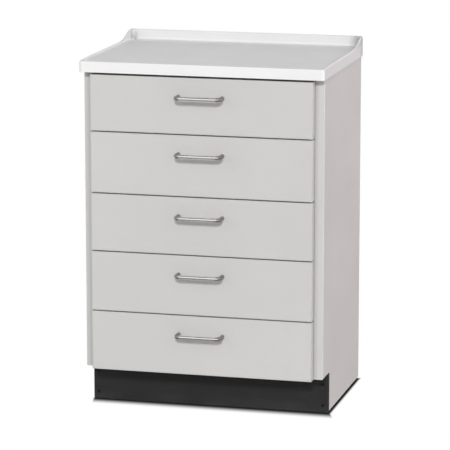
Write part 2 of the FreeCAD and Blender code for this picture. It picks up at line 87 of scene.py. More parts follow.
# Moulded top
rim_width = 13.0 * MM
cove_radius = 4.0 * MM
top_corner_radius = 9.0 * MM
cove_corner_radius = 5.0 * MM
top_corner_segments = 8
top_edge_radius = 3.0 * MM
top_edge_steps = 5
inner_edge_radius = 2.0 * MM
inner_edge_steps = 3
cove_steps = 6
skirt_arris = 0.8 * MM
top_lip_height = 24.0 * MM
top_skirt = 5.0 * MM
top_skin = 4.0 * MM
rim_front_rise = 3.0 * MM
rim_rise = 5.0 * MM
rim_ramp = 90.0 * MM
splash_rise = 26.0 * MM
splash_thickness = 14.0 * MM
sweep_length = 110.0 * MM
sweep_concave_share = 0.8
cove_share = 0.9
rim_stations = 16
sweep_stations = 30
# Painted shade on the rims and splash, and in the cove at the splash foot
raised_from = 3.0 * MM
raised_to = 6.0 * MM
cove_blend = 1.0 * MM
# Painted shade in the rear inner corners of the tray
corner_shade_core = 3.0 * MM
right_shade_reach = 26.0 * MM
left_shade_reach = 11.0 * MM
corner_shade = 0.60

# Pulls
pull_bend = 10.0 * MM
pull_sides = 32
pull_bend_steps = 10
# Painted dark reflections on the pull's legs and bends
dark_leg_y = -243.0 * MM
dark_bend_x = 42.0 * MM
dark_fade = 6.0 * MM

# Camera, as the photograph was taken
camera_place = Vector((1.7304, -6.712, 1.817))
camera_target = Vector((0.0614, -0.209, 0.4786))
camera_lens = 226.4
camera_sensor = 36.0
camera_reach = 200.0

# Studio light: a key from the front, a little to the right, softboxes at both sides and one behind
key_direction = Vector((0.18, -0.86, 0.445))
key_strength = 1.69
key_softness = math.radians(8.0)
right_place = Vector((1.9, -1.9, 1.5))
right_power = 7.0
right_tint = (1.03, 0.985, 0.99)
rear_place = Vector((2.8, 0.7, 1.0))
rear_power = 27.5
rear_tint = (1.07, 0.95, 0.955)
left_place = Vector((-1.9, -1.8, 1.6))
left_power = 9.9
left_tint = (0.99, 1.0, 0.98)
softbox_size = (1.4, 1.6)
sky_strength = 0.80
sky_levels = ((0.0, 1.0), (0.08, 0.5), (0.5, 0.3), (1.0, 0.2))
mirror_levels = ((0.0, 1.05), (0.45, 0.95), (0.7, 0.25), (1.0, 0.12))
backdrop_levels = ((0.0, 1.0), (1.0, 1.0))

# Floor: a painted contact shadow that fades out to white round the cabinet's foot
floor_radius = 60.0
floor_sides = 96
floor_bounce = 0.80
floor_mirror = 0.25
floor_mirror_far = 0.80
mirror_near = 0.3
mirror_far = 1.6
shadow_rear_inset = 6.0 * MM
shadow_reach = 8.0 * MM
shadow_front_reach = 50.0 * MM
shadow_lean = 0.29
shadow_shift = 2.0 * MM
shadow_tone = 0.015


def only(piece):
    """Select one piece and make it the active one."""
    bpy.ops.object.select_all(action="DESELECT")
    piece.select_set(True)
    bpy.context.view_layer.objects.active = piece


def added(name):
    """The primitive just added, named, with its place and size in its mesh."""
    piece = bpy.context.active_object
    piece.name = name
    piece.data.name = name
    only(piece)
    bpy.ops.object.transform_apply(location=True, rotation=True, scale=True)
    return piece


def box_piece(name, low, high):
    bpy.ops.object.select_all(action="DESELECT")
    middle = (low + high) / 2
    bpy.ops.mesh.primitive_cube_add(size=1, location=middle, scale=high - low)
    return added(name)


def edit(piece, kind="FACE"):
    only(piece)
    bpy.ops.object.mode_set(mode="EDIT")
    bpy.ops.mesh.select_mode(type=kind)
    bpy.ops.mesh.select_all(action="DESELECT")


def done():
    bpy.ops.object.mode_set(mode="OBJECT")


def pick(kind, test):
    """In edit mode, select the faces whose middle and normal pass a test, or the edges whose ends do."""
    mesh = bmesh.from_edit_mesh(bpy.context.edit_object.data)
    bpy.ops.mesh.select_mode(type=kind)
    bpy.ops.mesh.select_all(action="DESELECT")
    if kind == "FACE":
        for face in mesh.faces:
            face.select_set(test(face.calc_center_median(), face.normal))
    else:
        for edge in mesh.edges:
            edge.select_set(test(edge.verts[0].co, edge.verts[1].co))
    mesh.select_flush_mode()
    bmesh.update_edit_mesh(bpy.context.edit_object.data)


def near(a, b, within=1e-5):
    return abs(a - b) < within


def apply_bevel(piece, width, segments, degrees=30):
    """Round every sharp edge of a piece."""
    only(piece)
    bevel = piece.modifiers.new("bevel", "BEVEL")
    bevel.width = width
    bevel.segments = segments
    bevel.limit_method = "ANGLE"
    bevel.angle_limit = math.radians(degrees)
    bpy.ops.object.modifier_apply(modifier=bevel.name)


def put(piece, body, material, slot, *nodes):
    """Give a piece its finish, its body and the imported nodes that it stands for."""
    piece.data.materials.clear()
    piece.data.materials.append(material)
    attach(piece, body)
    if nodes:
        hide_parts(*nodes)
    return piece


class Finish:
    """A node material, with short words for the nodes that the finishes share."""

    def __init__(self, name):
        self.material = bpy.data.materials.new(name)
        self.material.use_nodes = True
        self.tree = self.material.node_tree
        self.shader = self.tree.nodes["Principled BSDF"]
        self.place = self.node("ShaderNodeTexCoord").outputs["Object"]

    def node(self, kind, **values):
        made = self.tree.nodes.new(kind)
        for key, value in values.items():
            setattr(made, key, value)
        return made

    def link(self, output, socket):
        self.tree.links.new(output, socket)

    def set(self, **values):
        for key, value in values.items():
            self.shader.inputs[key.replace("_", " ")].default_value = value

    def stretched(self, scale):
        mapping = self.node("ShaderNodeMapping")
        mapping.inputs["Scale"].default_value = scale
        self.link(self.place, mapping.inputs["Vector"])
        return mapping.outputs["Vector"]

    def noise(self, scale, detail=2.0, roughness=0.5, vector=None):
        made = self.node("ShaderNodeTexNoise")
        made.inputs["Scale"].default_value = scale
        made.inputs["Detail"].default_value = detail
        made.inputs["Roughness"].default_value = roughness
        self.link(vector or self.place, made.inputs["Vector"])
        return made.outputs["Fac"]

    def cells(self, scale, vector=None):
        made = self.node("ShaderNodeTexVoronoi")
        made.inputs["Scale"].default_value = scale
        self.link(vector or self.place, made.inputs["Vector"])
        return made

    def cell_tone(self, cells):
        """One grey value for each cell."""
        made = self.node("ShaderNodeRGBToBW")
        self.link(cells.outputs["Color"], made.inputs["Color"])
        return made.outputs["Val"]

    def spread(self, value, low, high, new_low=0.0, new_high=1.0):
        """Spread a value over a range, and clamp it there."""
        made = self.node("ShaderNodeMapRange")
        made.inputs["From Min"].default_value = low
        made.inputs["From Max"].default_value = high
        made.inputs["To Min"].default_value = new_low
        made.inputs["To Max"].default_value = new_high
        self.link(value, made.inputs["Value"])
        return made.outputs["Result"]

    def maths(self, operation, a, b=0.0):
        """An operation on one or two values, where each is a number or a node's output."""
        made = self.node("ShaderNodeMath", operation=operation)
        for socket, value in zip(made.inputs, (a, b)):
            if isinstance(value, (int, float)):
                socket.default_value = value
            else:
                self.link(value, socket)
        return made.outputs["Value"]

    def plus(self, a, b):
        return self.maths("ADD", a, b)

    def minus(self, a, b):
        return self.maths("SUBTRACT", a, b)

    def product(self, a, b):
        return self.maths("MULTIPLY", a, b)

    def larger(self, a, b):
        return self.maths("MAXIMUM", a, b)

    def absolute(self, value):
        return self.maths("ABSOLUTE", value)

    def mix(self, factor, a, b):
        """A colour between two colours, where each is a triple or a node's output."""
        made = self.node("ShaderNodeMix", data_type="RGBA")
        self.link(factor, made.inputs["Factor"])
        for socket, value in zip((made.inputs[6], made.inputs[7]), (a, b)):
            if isinstance(value, tuple):
                socket.default_value = (*value, 1.0)
            else:
                self.link(value, socket)
        return made.outputs[2]

    def times(self, a, b):
        """One colour multiplied by another."""
        made = self.node("ShaderNodeMix", data_type="RGBA", blend_type="MULTIPLY")
        made.inputs["Factor"].default_value = 1.0
        self.link(a, made.inputs[6])
        self.link(b, made.inputs[7])
        return made.outputs[2]

    def along(self, axis):
        """The place along one axis."""
        split = self.node("ShaderNodeSeparateXYZ")
        self.link(self.place, split.inputs["Vector"])
        return split.outputs[axis]

    def facing(self, axis):
        """The surface normal along one axis, from -1 to 1."""
        geometry = self.node("ShaderNodeNewGeometry")
        split = self.node("ShaderNodeSeparateXYZ")
        self.link(geometry.outputs["Normal"], split.inputs["Vector"])
        return split.outputs[axis]

    def distance(self, point, stretch):
        """Distance from a point, with the axes stretched."""
        made = self.node("ShaderNodeVectorMath", operation="DISTANCE")
        self.link(self.stretched(stretch), made.inputs[0])
        made.inputs[1].default_value = [along * scale for along, scale in zip(point, stretch)]
        return made.outputs["Value"]

    def colour(self, output):
        self.link(output, self.shader.inputs["Base Color"])

    def gloss(self, output):
        self.link(output, self.shader.inputs["Roughness"])

    def bump(self, value, distance, strength=1.0, under=None):
        made = self.node("ShaderNodeBump")
        made.inputs["Strength"].default_value = strength
        made.inputs["Distance"].default_value = distance
        self.link(value, made.inputs["Height"])
        if under:
            self.link(under, made.inputs["Normal"])
        self.link(made.outputs["Normal"], self.shader.inputs["Normal"])
        return made.outputs["Normal"]


def grey_laminate():
    """Pressed laminate: a suede skin, faint clouds in the paper and smudges that change the sheen."""
    f = Finish("grey_laminate")
    clouds = f.noise(3.0, 3.0, 0.6)
    fibres = f.noise(420.0, 2.0, 0.6, f.stretched((1.0, 1.0, 0.25)))
    paper = f.mix(f.spread(clouds, 0.3, 0.7), (0.605, 0.600, 0.592), (0.635, 0.630, 0.620))
    flecks = f.spread(fibres, 0.58, 0.72, 0.0, 0.45)
    f.colour(f.mix(flecks, paper, (0.575, 0.570, 0.566)))
    f.gloss(f.spread(f.noise(9.0, 4.0, 0.7), 0.3, 0.7, 0.38, 0.50))
    f.set(Specular_IOR_Level=0.45)
    under = f.bump(f.noise(2600.0, 2.0), 0.05 * MM, 0.35)
    f.bump(f.noise(260.0, 1.0), 0.08 * MM, 0.12, under)
    return f.material


def edge_band(name, tone, corner=None, dust_and_shade=0.76, side_shade=1.0, top_shade=1.0):
    """Extruded edge band, a little glossier than the laminate beside it, with faint drag lines.

    Between the two distances from the middle of the cabinet that corner gives, painted shade gathers
    towards the nearer one, which is where the drawer fronts end. The last two values paint shade on the
    band where it faces sideways and upwards."""
    f = Finish(name)
    drag = f.noise(60.0, 3.0, 0.6, f.stretched((1.0, 1.0, 0.06)))
    dull = (tone, tone * 0.995, tone * 0.985)
    fair = tuple(value * 1.04 for value in dull)
    base_tone = f.mix(f.spread(drag, 0.35, 0.65), dull, fair)
    # Painted shade beside the drawer fronts, darkest where they end
    if corner:
        beside = f.absolute(f.along("X"))
        shaded_tone = tuple(value * dust_and_shade for value in dull)
        base_tone = f.mix(f.spread(beside, *corner), shaded_tone, base_tone)
    # Painted shade where the band faces sideways and upwards
    ends = f.spread(f.absolute(f.facing("X")), 0.6, 0.95)
    above = f.spread(f.facing("Z"), 0.8, 0.98)
    end_shaded = f.times(base_tone, f.mix(ends, PLAIN, (side_shade,) * 3))
    f.colour(f.times(end_shaded, f.mix(above, PLAIN, (top_shade,) * 3)))
    f.gloss(f.spread(f.noise(25.0, 3.0, 0.6), 0.3, 0.7, 0.30, 0.42))
    f.bump(f.noise(1500.0, 1.0), 0.04 * MM, 0.25)
    return f.material


def moulded_white():
    """Thermoformed top: fine pebble skin, satin, with painted shade on its outer ends and in the rear
    corners.
    """
    f = Finish("moulded_white")
    clouds = f.noise(4.0, 3.0, 0.55)
    skin = f.mix(f.spread(clouds, 0.3, 0.7), (0.872, 0.874, 0.877), (0.905, 0.906, 0.908))
    low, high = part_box("moulded_top")
    field = low.z + top_lip_height
    splash_foot = high.y - splash_thickness - cove_radius
    # Painted shade on the rims and splash above the work surface
    raised_shade = f.mix(f.spread(f.along("Z"), field + raised_from, field + raised_to), PLAIN, (0.87,) * 3)
    # Painted shade on the outer ends; painted light on the inner faces of the rims
    outward = f.product(f.facing("X"), f.maths("SIGN", f.along("X")))
    outer_end_shade = f.mix(f.spread(outward, 0.80, 0.97), PLAIN, (0.85, 0.865, 0.87))
    base_tone = f.mix(f.spread(outward, -0.5, -0.8), f.times(skin, raised_shade), (0.95,) * 3)
    # Painted shade in the cove at the foot of the splash
    foot = f.spread(f.along("Y"), splash_foot - cove_blend, splash_foot + cove_blend)
    cove_top = field + cove_radius
    low_down = f.spread(f.along("Z"), cove_top + cove_blend, cove_top - cove_blend)
    cove_shade = f.product(foot, low_down)
    finish = f.times(f.times(base_tone, outer_end_shade), f.mix(cove_shade, PLAIN, (0.90,) * 3))
    # Painted shade in the two rear inner corners
    tray_x = high.x - rim_width
    for corner_x, reach in ((tray_x, right_shade_reach), (-tray_x, left_shade_reach)):
        away = f.distance((corner_x, high.y - splash_thickness, field), (1.0, 1.0, 0.35))
        dust_and_shade = f.mix(f.spread(away, corner_shade_core, reach), (corner_shade,) * 3, PLAIN)
        finish = f.times(finish, dust_and_shade)
    f.colour(finish)
    pebble = f.cells(900.0)
    f.gloss(f.spread(f.noise(14.0, 5.0, 0.7), 0.3, 0.7, 0.30, 0.44))
    f.set(Specular_IOR_Level=0.33)
    under = f.bump(pebble.outputs["Distance"], 0.06 * MM, 0.22)
    f.bump(f.noise(120.0, 2.0), 0.1 * MM, 0.10, under)
    return f.material


def melamine_face(f):
    """The white of melamine, in faint clouds."""
    return f.mix(f.spread(f.noise(5.0, 3.0), 0.3, 0.7), (0.785, 0.775, 0.765), (0.825, 0.815, 0.805))


def white_melamine():
    """Melamine faced board, matt."""
    f = Finish("white_melamine")
    f.colour(melamine_face(f))
    f.gloss(f.spread(f.noise(18.0, 4.0, 0.7), 0.3, 0.7, 0.36, 0.48))
    f.bump(f.noise(1800.0, 2.0), 0.05 * MM, 0.30)
    return f.material


def raw_board():
    """Bare particle board: pressed chips of several tones."""
    f = Finish("raw_board")
    chips = f.cells(260.0, f.stretched((1.0, 1.0, 2.6)))
    tan = f.mix(f.cell_tone(chips), (0.42, 0.29, 0.16), (0.66, 0.51, 0.33))
    f.colour(f.mix(f.spread(f.noise(700.0, 2.0), 0.55, 0.75), tan, (0.24, 0.15, 0.08)))
    f.gloss(f.spread(f.noise(90.0), 0.3, 0.7, 0.70, 0.88))
    f.bump(chips.outputs["Distance"], 0.4 * MM, 0.5)
    return f.material


def printed_white(f):
    """The white printed face of hardboard."""
    return f.mix(f.spread(f.noise(6.0, 3.0), 0.3, 0.7), (0.765, 0.755, 0.74), (0.805, 0.795, 0.78))


def white_hardboard():
    """Hardboard: white printed face above, brown mesh-pressed fibre below and on its edges."""
    f = Finish("white_hardboard")
    fibre = f.noise(900.0, 3.0, 0.7, f.stretched((1.0, 0.3, 1.0)))
    brown = f.mix(f.spread(fibre, 0.3, 0.7), (0.20, 0.115, 0.055), (0.33, 0.205, 0.11))
    f.colour(f.mix(f.spread(f.facing("Z"), 0.4, 0.6), brown, printed_white(f)))
    f.gloss(f.spread(f.facing("Z"), 0.4, 0.6, 0.75, 0.42))
    f.bump(f.noise(1200.0, 2.0), 0.1 * MM, 0.35)
    return f.material


def back_hardboard():
    """The back panel: white face inside, brown fibre outside."""
    f = Finish("back_hardboard")
    fibre = f.noise(800.0, 4.0, 0.7)
    weave = f.cells(520.0)
    brown = f.mix(f.spread(fibre, 0.3, 0.7), (0.20, 0.118, 0.06), (0.34, 0.215, 0.12))
    f.colour(f.mix(f.spread(f.facing("Y"), -0.6, -0.4), printed_white(f), brown))
    f.gloss(f.spread(f.facing("Y"), -0.6, -0.4, 0.42, 0.75))
    f.bump(weave.outputs["Distance"], 0.25 * MM, 0.35)
    return f.material


def black_laminate():
    """Charcoal laminate with shoe scuffs, and floor dust with painted light along its foot."""
    f = Finish("black_laminate")
    scuff = f.noise(7.0, 6.0, 0.75, f.stretched((1.0, 1.0, 3.5)))
    grain = f.noise(700.0, 2.0)
    dark = f.mix(f.spread(grain, 0.3, 0.7), (0.0085, 0.0082, 0.0085), (0.013, 0.0125, 0.0127))
    end_shaded = f.mix(f.spread(scuff, 0.56, 0.76, 0.0, 0.6), dark, (0.026, 0.025, 0.0245))
    # Lighter towards the floor in patches: floor dust with painted light
    low_down = f.spread(f.along("Z"), kick_dust_and_light_height, 0.0, 0.0, 0.55)
    dust_and_shade = f.product(low_down, f.spread(scuff, 0.35, 0.7))
    f.colour(f.mix(dust_and_shade, end_shaded, (0.044, 0.041, 0.039)))
    f.gloss(f.spread(scuff, 0.3, 0.75, 0.42, 0.60))
    f.bump(f.noise(2200.0, 2.0), 0.06 * MM, 0.4)
    return f.material


def black_plastic():
    """Black moulded plastic, matt."""
    f = Finish("black_plastic")
    f.colour(f.mix(f.noise(300.0, 3.0), (0.012, 0.012, 0.013), (0.026, 0.026, 0.027)))
    f.gloss(f.spread(f.noise(80.0), 0.3, 0.7, 0.42, 0.58))
    f.bump(f.noise(1400.0), 0.06 * MM, 0.4)
    return f.material


def nylon():
    """Natural nylon, slightly clouded."""
    f = Finish("nylon_roller")
    f.colour(f.mix(f.noise(160.0, 3.0), (0.71, 0.70, 0.65), (0.80, 0.79, 0.75)))
    f.gloss(f.spread(f.noise(400.0, 2.0), 0.3, 0.7, 0.26, 0.42))
    f.set(Subsurface_Weight=0.1, Subsurface_Scale=2.0 * MM)
    f.bump(f.noise(1600.0), 0.05 * MM, 0.3)
    return f.material


def bright_nickel():
    """Nickel on a round bar: fine drawn lines, buffed along the bar, rougher and with painted dark
    reflections at its bends and legs.
    """
    f = Finish("bright_nickel")
    drawn = f.noise(900.0, 2.0, 0.6, f.stretched((0.02, 1.0, 1.0)))
    buffed = f.mix(f.spread(f.noise(40.0, 3.0), 0.3, 0.7), (0.86, 0.835, 0.825), (0.94, 0.915, 0.905))
    # Painted dark reflections on the legs and bends, which are also rougher
    dark_reflection = f.mix(f.spread(f.noise(120.0, 4.0), 0.3, 0.7), (0.20, 0.19, 0.185), (0.36, 0.345, 0.335))
    leg = f.spread(f.along("Y"), dark_leg_y, dark_leg_y + dark_fade)
    bend = f.spread(f.absolute(f.along("X")), dark_bend_x, dark_bend_x + dark_fade, 0.0, 0.9)
    dark_and_rough = f.larger(leg, bend)
    f.colour(f.mix(dark_and_rough, buffed, dark_reflection))
    f.set(Metallic=1.0)
    f.gloss(f.plus(f.spread(drawn, 0.3, 0.7, 0.22, 0.30), f.spread(dark_and_rough, 0.0, 1.0, 0.0, 0.25)))
    f.bump(drawn, 0.02 * MM, 0.12)
    return f.material


def powder_white():
    """Powder coat on folded steel: orange peel and grey roller tracks."""
    f = Finish("runner_white")
    rub = f.noise(220.0, 4.0, 0.7, f.stretched((1.0, 0.05, 1.0)))
    f.colour(f.mix(f.spread(rub, 0.62, 0.80, 0.0, 0.7), (0.79, 0.79, 0.78), (0.52, 0.52, 0.51)))
    f.gloss(f.spread(rub, 0.3, 0.8, 0.30, 0.48))
    f.bump(f.noise(650.0, 2.0), 0.12 * MM, 0.35)
    return f.material


def zinc(name, low, high, gloss_low, gloss_high):
    """A plated or cast surface of small spangles, between two tones."""
    f = Finish(name)
    f.colour(f.mix(f.cell_tone(f.cells(500.0)), low, high))
    f.set(Metallic=1.0)
    f.gloss(f.spread(f.noise(600.0, 3.0), 0.3, 0.7, gloss_low, gloss_high))
    f.bump(f.noise(1500.0, 2.0), 0.05 * MM, 0.3)
    return f.material


def raw_edged_melamine():
    """Melamine faced board whose front and rear edges are left raw."""
    f = Finish("raw_edged_melamine")
    raw = f.mix(f.cell_tone(f.cells(300.0)), (0.26, 0.17, 0.09), (0.46, 0.34, 0.20))
    edge_on = f.spread(f.absolute(f.facing("Y")), 0.6, 0.8)
    f.colour(f.mix(edge_on, melamine_face(f), raw))
    f.gloss(f.spread(edge_on, 0.0, 1.0, 0.42, 0.85))
    f.bump(f.noise(900.0, 3.0), 0.1 * MM, 0.35)
    return f.material


grey = grey_laminate()
# Painted shade on the fronts' end faces, and on the top face of front 1's band under the lip
band = edge_band("front_band", 0.635, side_shade=0.80)
top_band = edge_band("front_1_band", 0.635, side_shade=0.80, top_shade=0.55)
# The side bands have painted shade beside the drawer fronts
left_band = edge_band("left_band", 0.645, left_shade_span, dust_and_shade=0.66)
right_band = edge_band("right_band", 0.645, right_shade_span)
white = moulded_white()
melamine = white_melamine()
rail_board = raw_edged_melamine()
chip = raw_board()
hardboard = white_hardboard()
back_board = back_hardboard()
charcoal = black_laminate()
plastic = black_plastic()
roller_nylon = nylon()
nickel = bright_nickel()
powder = powder_white()
zinc_plate = zinc("zinc_screw", (0.50, 0.50, 0.47), (0.66, 0.66, 0.62), 0.26, 0.42)
oxide = zinc("black_screw", (0.018, 0.018, 0.019), (0.05, 0.05, 0.052), 0.35, 0.50)
die_cast = zinc("zinc_fitting", (0.42, 0.42, 0.43), (0.55, 0.55, 0.56), 0.38, 0.55)


def dress(finish, *nodes):
    """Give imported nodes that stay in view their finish."""
    for name in nodes:
        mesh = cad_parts[name].data
        mesh.materials.clear()
        mesh.materials.append(finish)


def rim_height(y, low, high):
    """Height of the rim and splash over the work surface, at a place from front to rear.

    From the front it is a slow ramp, a level stretch, a hollow arc, a crown arc and the splash."""
    splash_face = high.y - splash_thickness
    climb = splash_rise - rim_rise
    turn = 2 * math.atan(climb / sweep_length)
    radii = sweep_length / math.sin(turn)
    hollow = radii * sweep_concave_share
    crown = radii - hollow
    start = splash_face - sweep_length
    ramp_end = low.y + rim_ramp
    ramp_climb = rim_rise - rim_front_rise
    if y >= splash_face:
        return splash_rise
    if y >= start + hollow * math.sin(turn):
        return splash_rise - crown + math.sqrt(crown ** 2 - (splash_face - y) ** 2)
    if y >= start:
        return rim_rise + hollow - math.sqrt(hollow ** 2 - (y - start) ** 2)
    if y >= ramp_end:
        return rim_rise
    radius = (rim_ramp ** 2 + ramp_climb ** 2) / (2 * ramp_climb)
    return rim_rise - radius + math.sqrt(radius ** 2 - (ramp_end - y) ** 2)


def quarter(steps, radius):
    """Steps round a quarter circle, each as its share along the start and its share away from it."""
    angles = [math.pi / 2 * k / steps for k in range(steps + 1)]
    along = [radius * math.sin(a) for a in angles]
    aside = [radius * (1 - math.cos(a)) for a in angles]
    return [(along[k + 1] - along[k], aside[k + 1] - aside[k]) for k in range(steps)]


def push(x=0.0, y=0.0, z=0.0):
    """Extrude what is selected."""
    bpy.ops.mesh.extrude_region_move(TRANSFORM_OT_translate={"value": (x, y, z)})


def moulded_top():
    """A plane grown into a shell: skirt, rounded edge, rim, cove and work surface, then its heights."""
    low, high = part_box("moulded_top")
    field = low.z + top_lip_height
    crest = high.z
    middle = (low + high) / 2
    bpy.ops.object.select_all(action="DESELECT")
    bpy.ops.mesh.primitive_plane_add(size=1, location=(middle.x, middle.y, low.z))
    bpy.context.active_object.scale = (high.x - low.x, high.y - low.y, 1)
    piece = added("work_top")
    edit(piece)
    bpy.ops.mesh.select_all(action="SELECT")
    bpy.ops.mesh.bevel(offset=top_corner_radius, segments=top_corner_segments, affect="VERTICES")
    bpy.ops.mesh.select_all(action="SELECT")
    push(z=crest - top_edge_radius - low.z)
    for rise, inward in quarter(top_edge_steps, top_edge_radius):
        bpy.ops.mesh.inset(thickness=inward, depth=rise, use_even_offset=True)
    push()
    widen_corners(low, high, crest)
    # The slivers beside the tray have no area and no normal yet, so this picks the tray alone
    pick("FACE", lambda p, n: near(p.z, crest) and n.z > 0.9 and abs(p.x) < cove_radius)
    for inward, fall in quarter(inner_edge_steps, inner_edge_radius):
        bpy.ops.mesh.inset(thickness=inward, depth=-fall, use_even_offset=True)
    push(z=-(splash_rise - inner_edge_radius - cove_radius))
    for fall, inward in quarter(cove_steps, cove_radius):
        bpy.ops.mesh.inset(thickness=inward, depth=-fall, use_even_offset=True)
    hollow_underside(low, high)
    for k in range(1, rim_stations):
        slice_across(low.y + rim_ramp * k / rim_stations)
    for k in range(sweep_stations + 1):
        slice_across(high.y - splash_thickness - sweep_length * (1 - k / sweep_stations))
    # All of the rim stands as high as the splash so far, and is lowered here to its own height
    mesh = bmesh.from_edit_mesh(piece.data)
    for vert in mesh.verts:
        rise = rim_height(vert.co.y, low, high)
        over = vert.co.z - field
        if over > cove_radius + inner_edge_radius:
            vert.co.z -= splash_rise - rise
        elif over > 0:
            vert.co.z = field + over * min(1.0, cove_share * (rise - inner_edge_radius) / cove_radius)
    bmesh.update_edit_mesh(piece.data)
    done()
    finish_surface(piece)
    return put(piece, "cabinet", white, "moulded_white", "moulded_top")


def widen_corners(low, high, crest):
    """Move the corner points of the topmost outline in to where the tray's corners are.

    The two end points of each corner lie 0.15 mm past its centre, so they stay where they are, and the
    straight sides between the corners stay with them. There the rims and the splash are 5 mm thick, and
    not the 13 and 14 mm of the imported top."""
    old_radius = top_corner_radius - top_edge_radius
    new_radius = cove_corner_radius + inner_edge_radius
    for side_x in (-1, 1):
        for front in (True, False):
            outer_y = low.y if front else high.y
            side_y = -1 if front else 1
            wall = rim_width if front else splash_thickness
            old_x = side_x * (high.x - top_corner_radius)
            old = Vector((old_x, outer_y - side_y * top_corner_radius, crest))
            new_x = side_x * (high.x - rim_width - cove_corner_radius)
            new = Vector((new_x, outer_y - side_y * (wall + cove_corner_radius), crest))
            mesh = bmesh.from_edit_mesh(bpy.context.edit_object.data)
            bpy.ops.mesh.select_mode(type="VERT")
            bpy.ops.mesh.select_all(action="DESELECT")
            topmost = [face for face in mesh.faces if face.calc_center_median().z > crest - touching]
            tray = max(topmost, key=lambda face: face.calc_area())
            for vert in tray.verts:
                beyond_x = (vert.co.x - old.x) * side_x > -touching
                beyond_y = (vert.co.y - old.y) * side_y > -touching
                vert.select_set(beyond_x and beyond_y)
            mesh.select_flush_mode()
            bmesh.update_edit_mesh(bpy.context.edit_object.data)
            grow = new_radius / old_radius
            bpy.ops.transform.resize(value=(grow, grow, 1), center_override=old)
            bpy.ops.transform.translate(value=new - old)


def hollow_underside(low, high):
    """The pocket for the board, inside the skirt, and the eased lower edge."""
    pick("FACE", lambda p, n: near(p.z, low.z) and n.z < -0.9)
    bpy.ops.mesh.inset(thickness=top_skirt, use_even_offset=True)
    push(z=top_lip_height - top_skin)
    half_skirt = top_skirt / 2

    def outside(point):
        beside = abs(point.x) > high.x - half_skirt
        return beside or point.y < low.y + half_skirt or point.y > high.y - half_skirt

    pick("EDGE", lambda a, b: near(a.z, low.z) and near(b.z, low.z) and outside(a) and outside(b))
    bpy.ops.mesh.bevel(offset=skirt_arris, segments=arris_segments, affect="EDGES")


def slice_across(y):
    bpy.ops.mesh.select_all(action="SELECT")
    bpy.ops.mesh.bisect(plane_co=(0, y, 0), plane_no=(0, 1, 0))


def finish_surface(piece, degrees=40):
    """Smooth the round stretches and keep the flat ones flat."""
    only(piece)
    bpy.ops.object.shade_smooth_by_angle(angle=math.radians(degrees))
    weigh = piece.modifiers.new("weigh", "WEIGHTED_NORMAL")
    weigh.keep_sharp = True
    bpy.ops.object.modifier_apply(modifier=weigh.name)


def drawer_front(n):
    """A laminate board inside its edge band, with a hairline where they meet."""
    node = f"drawer_{n}_front"
    low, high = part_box(node)
    rim = Vector((band_thickness + seam, 0, band_thickness + seam))
    board = box_piece(f"front_{n}_board", low + rim, high - rim)
    apply_bevel(board, seam, 1)
    put(board, f"drawer_{n}", grey, "grey_laminate", node)
    edge = box_piece(f"front_{n}_band", low, high)
    edit(edge)
    pick("FACE", lambda p, m: abs(m.y) > 0.9)
    bpy.ops.mesh.inset(thickness=band_thickness, use_individual=True)
    bpy.ops.mesh.bridge_edge_loops()

    def outer(point):
        on_side = near(point.x, low.x) or near(point.x, high.x)
        return on_side or near(point.z, low.z) or near(point.z, high.z)

    pick("EDGE", lambda a, b: near(a.y, low.y) and near(b.y, low.y) and outer(a) and outer(b))
    bpy.ops.mesh.bevel(offset=band_radius, segments=band_segments, affect="EDGES")
    pick("EDGE", lambda a, b: near(a.y, high.y) and near(b.y, high.y) and outer(a) and outer(b))
    bpy.ops.mesh.bevel(offset=arris, segments=arris_segments, affect="EDGES")
    done()
    finish_surface(edge)
    return put(edge, f"drawer_{n}", top_band if n == 1 else band, "grey_laminate", node)


def side_panel(node, edging):
    """An L-shaped board behind thick bands that go down its front and round the toe space."""
    low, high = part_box(node)
    notch_y = low.y + toe_depth
    deep = side_band_thickness + seam
    board = box_piece(node + "_board", Vector((low.x, notch_y + deep, low.z)), high)
    edit(board)
    bpy.ops.mesh.select_all(action="SELECT")
    bpy.ops.mesh.bisect(plane_co=(0, 0, toe_height + deep), plane_no=(0, 0, 1))
    pick("FACE", lambda p, n: n.y < -0.9 and p.z > toe_height + deep)
    push(y=-toe_depth)
    done()
    apply_bevel(board, seam, 1)
    put(board, "cabinet", grey, "grey_laminate", node)

    thick = side_band_thickness
    strip = box_piece(
        node + "_band", Vector((low.x, low.y, toe_height)), Vector((high.x, low.y + thick, high.z)))
    edit(strip)
    bpy.ops.mesh.select_all(action="SELECT")
    bpy.ops.mesh.bisect(plane_co=(0, 0, toe_height + thick), plane_no=(0, 0, 1))
    pick("FACE", lambda p, n: n.y > 0.9 and p.z < toe_height + thick)
    push(y=toe_depth - thick)
    push(y=thick)
    pick("FACE", lambda p, n: n.z < -0.9 and p.y > notch_y)
    push(z=low.z - toe_height)

    def outline(point):
        down_front = near(point.y, low.y)
        round_toe = near(point.z, toe_height) and point.y < notch_y + touching
        behind_kick = near(point.y, notch_y) and point.z < toe_height + touching
        return down_front or round_toe or behind_kick

    pick("EDGE", lambda a, b: near(a.x, b.x) and outline(a) and outline(b))
    bpy.ops.mesh.bevel(offset=side_edge_radius, segments=side_edge_segments, affect="EDGES")
    done()
    finish_surface(strip)
    return put(strip, "cabinet", edging, "grey_laminate", node)


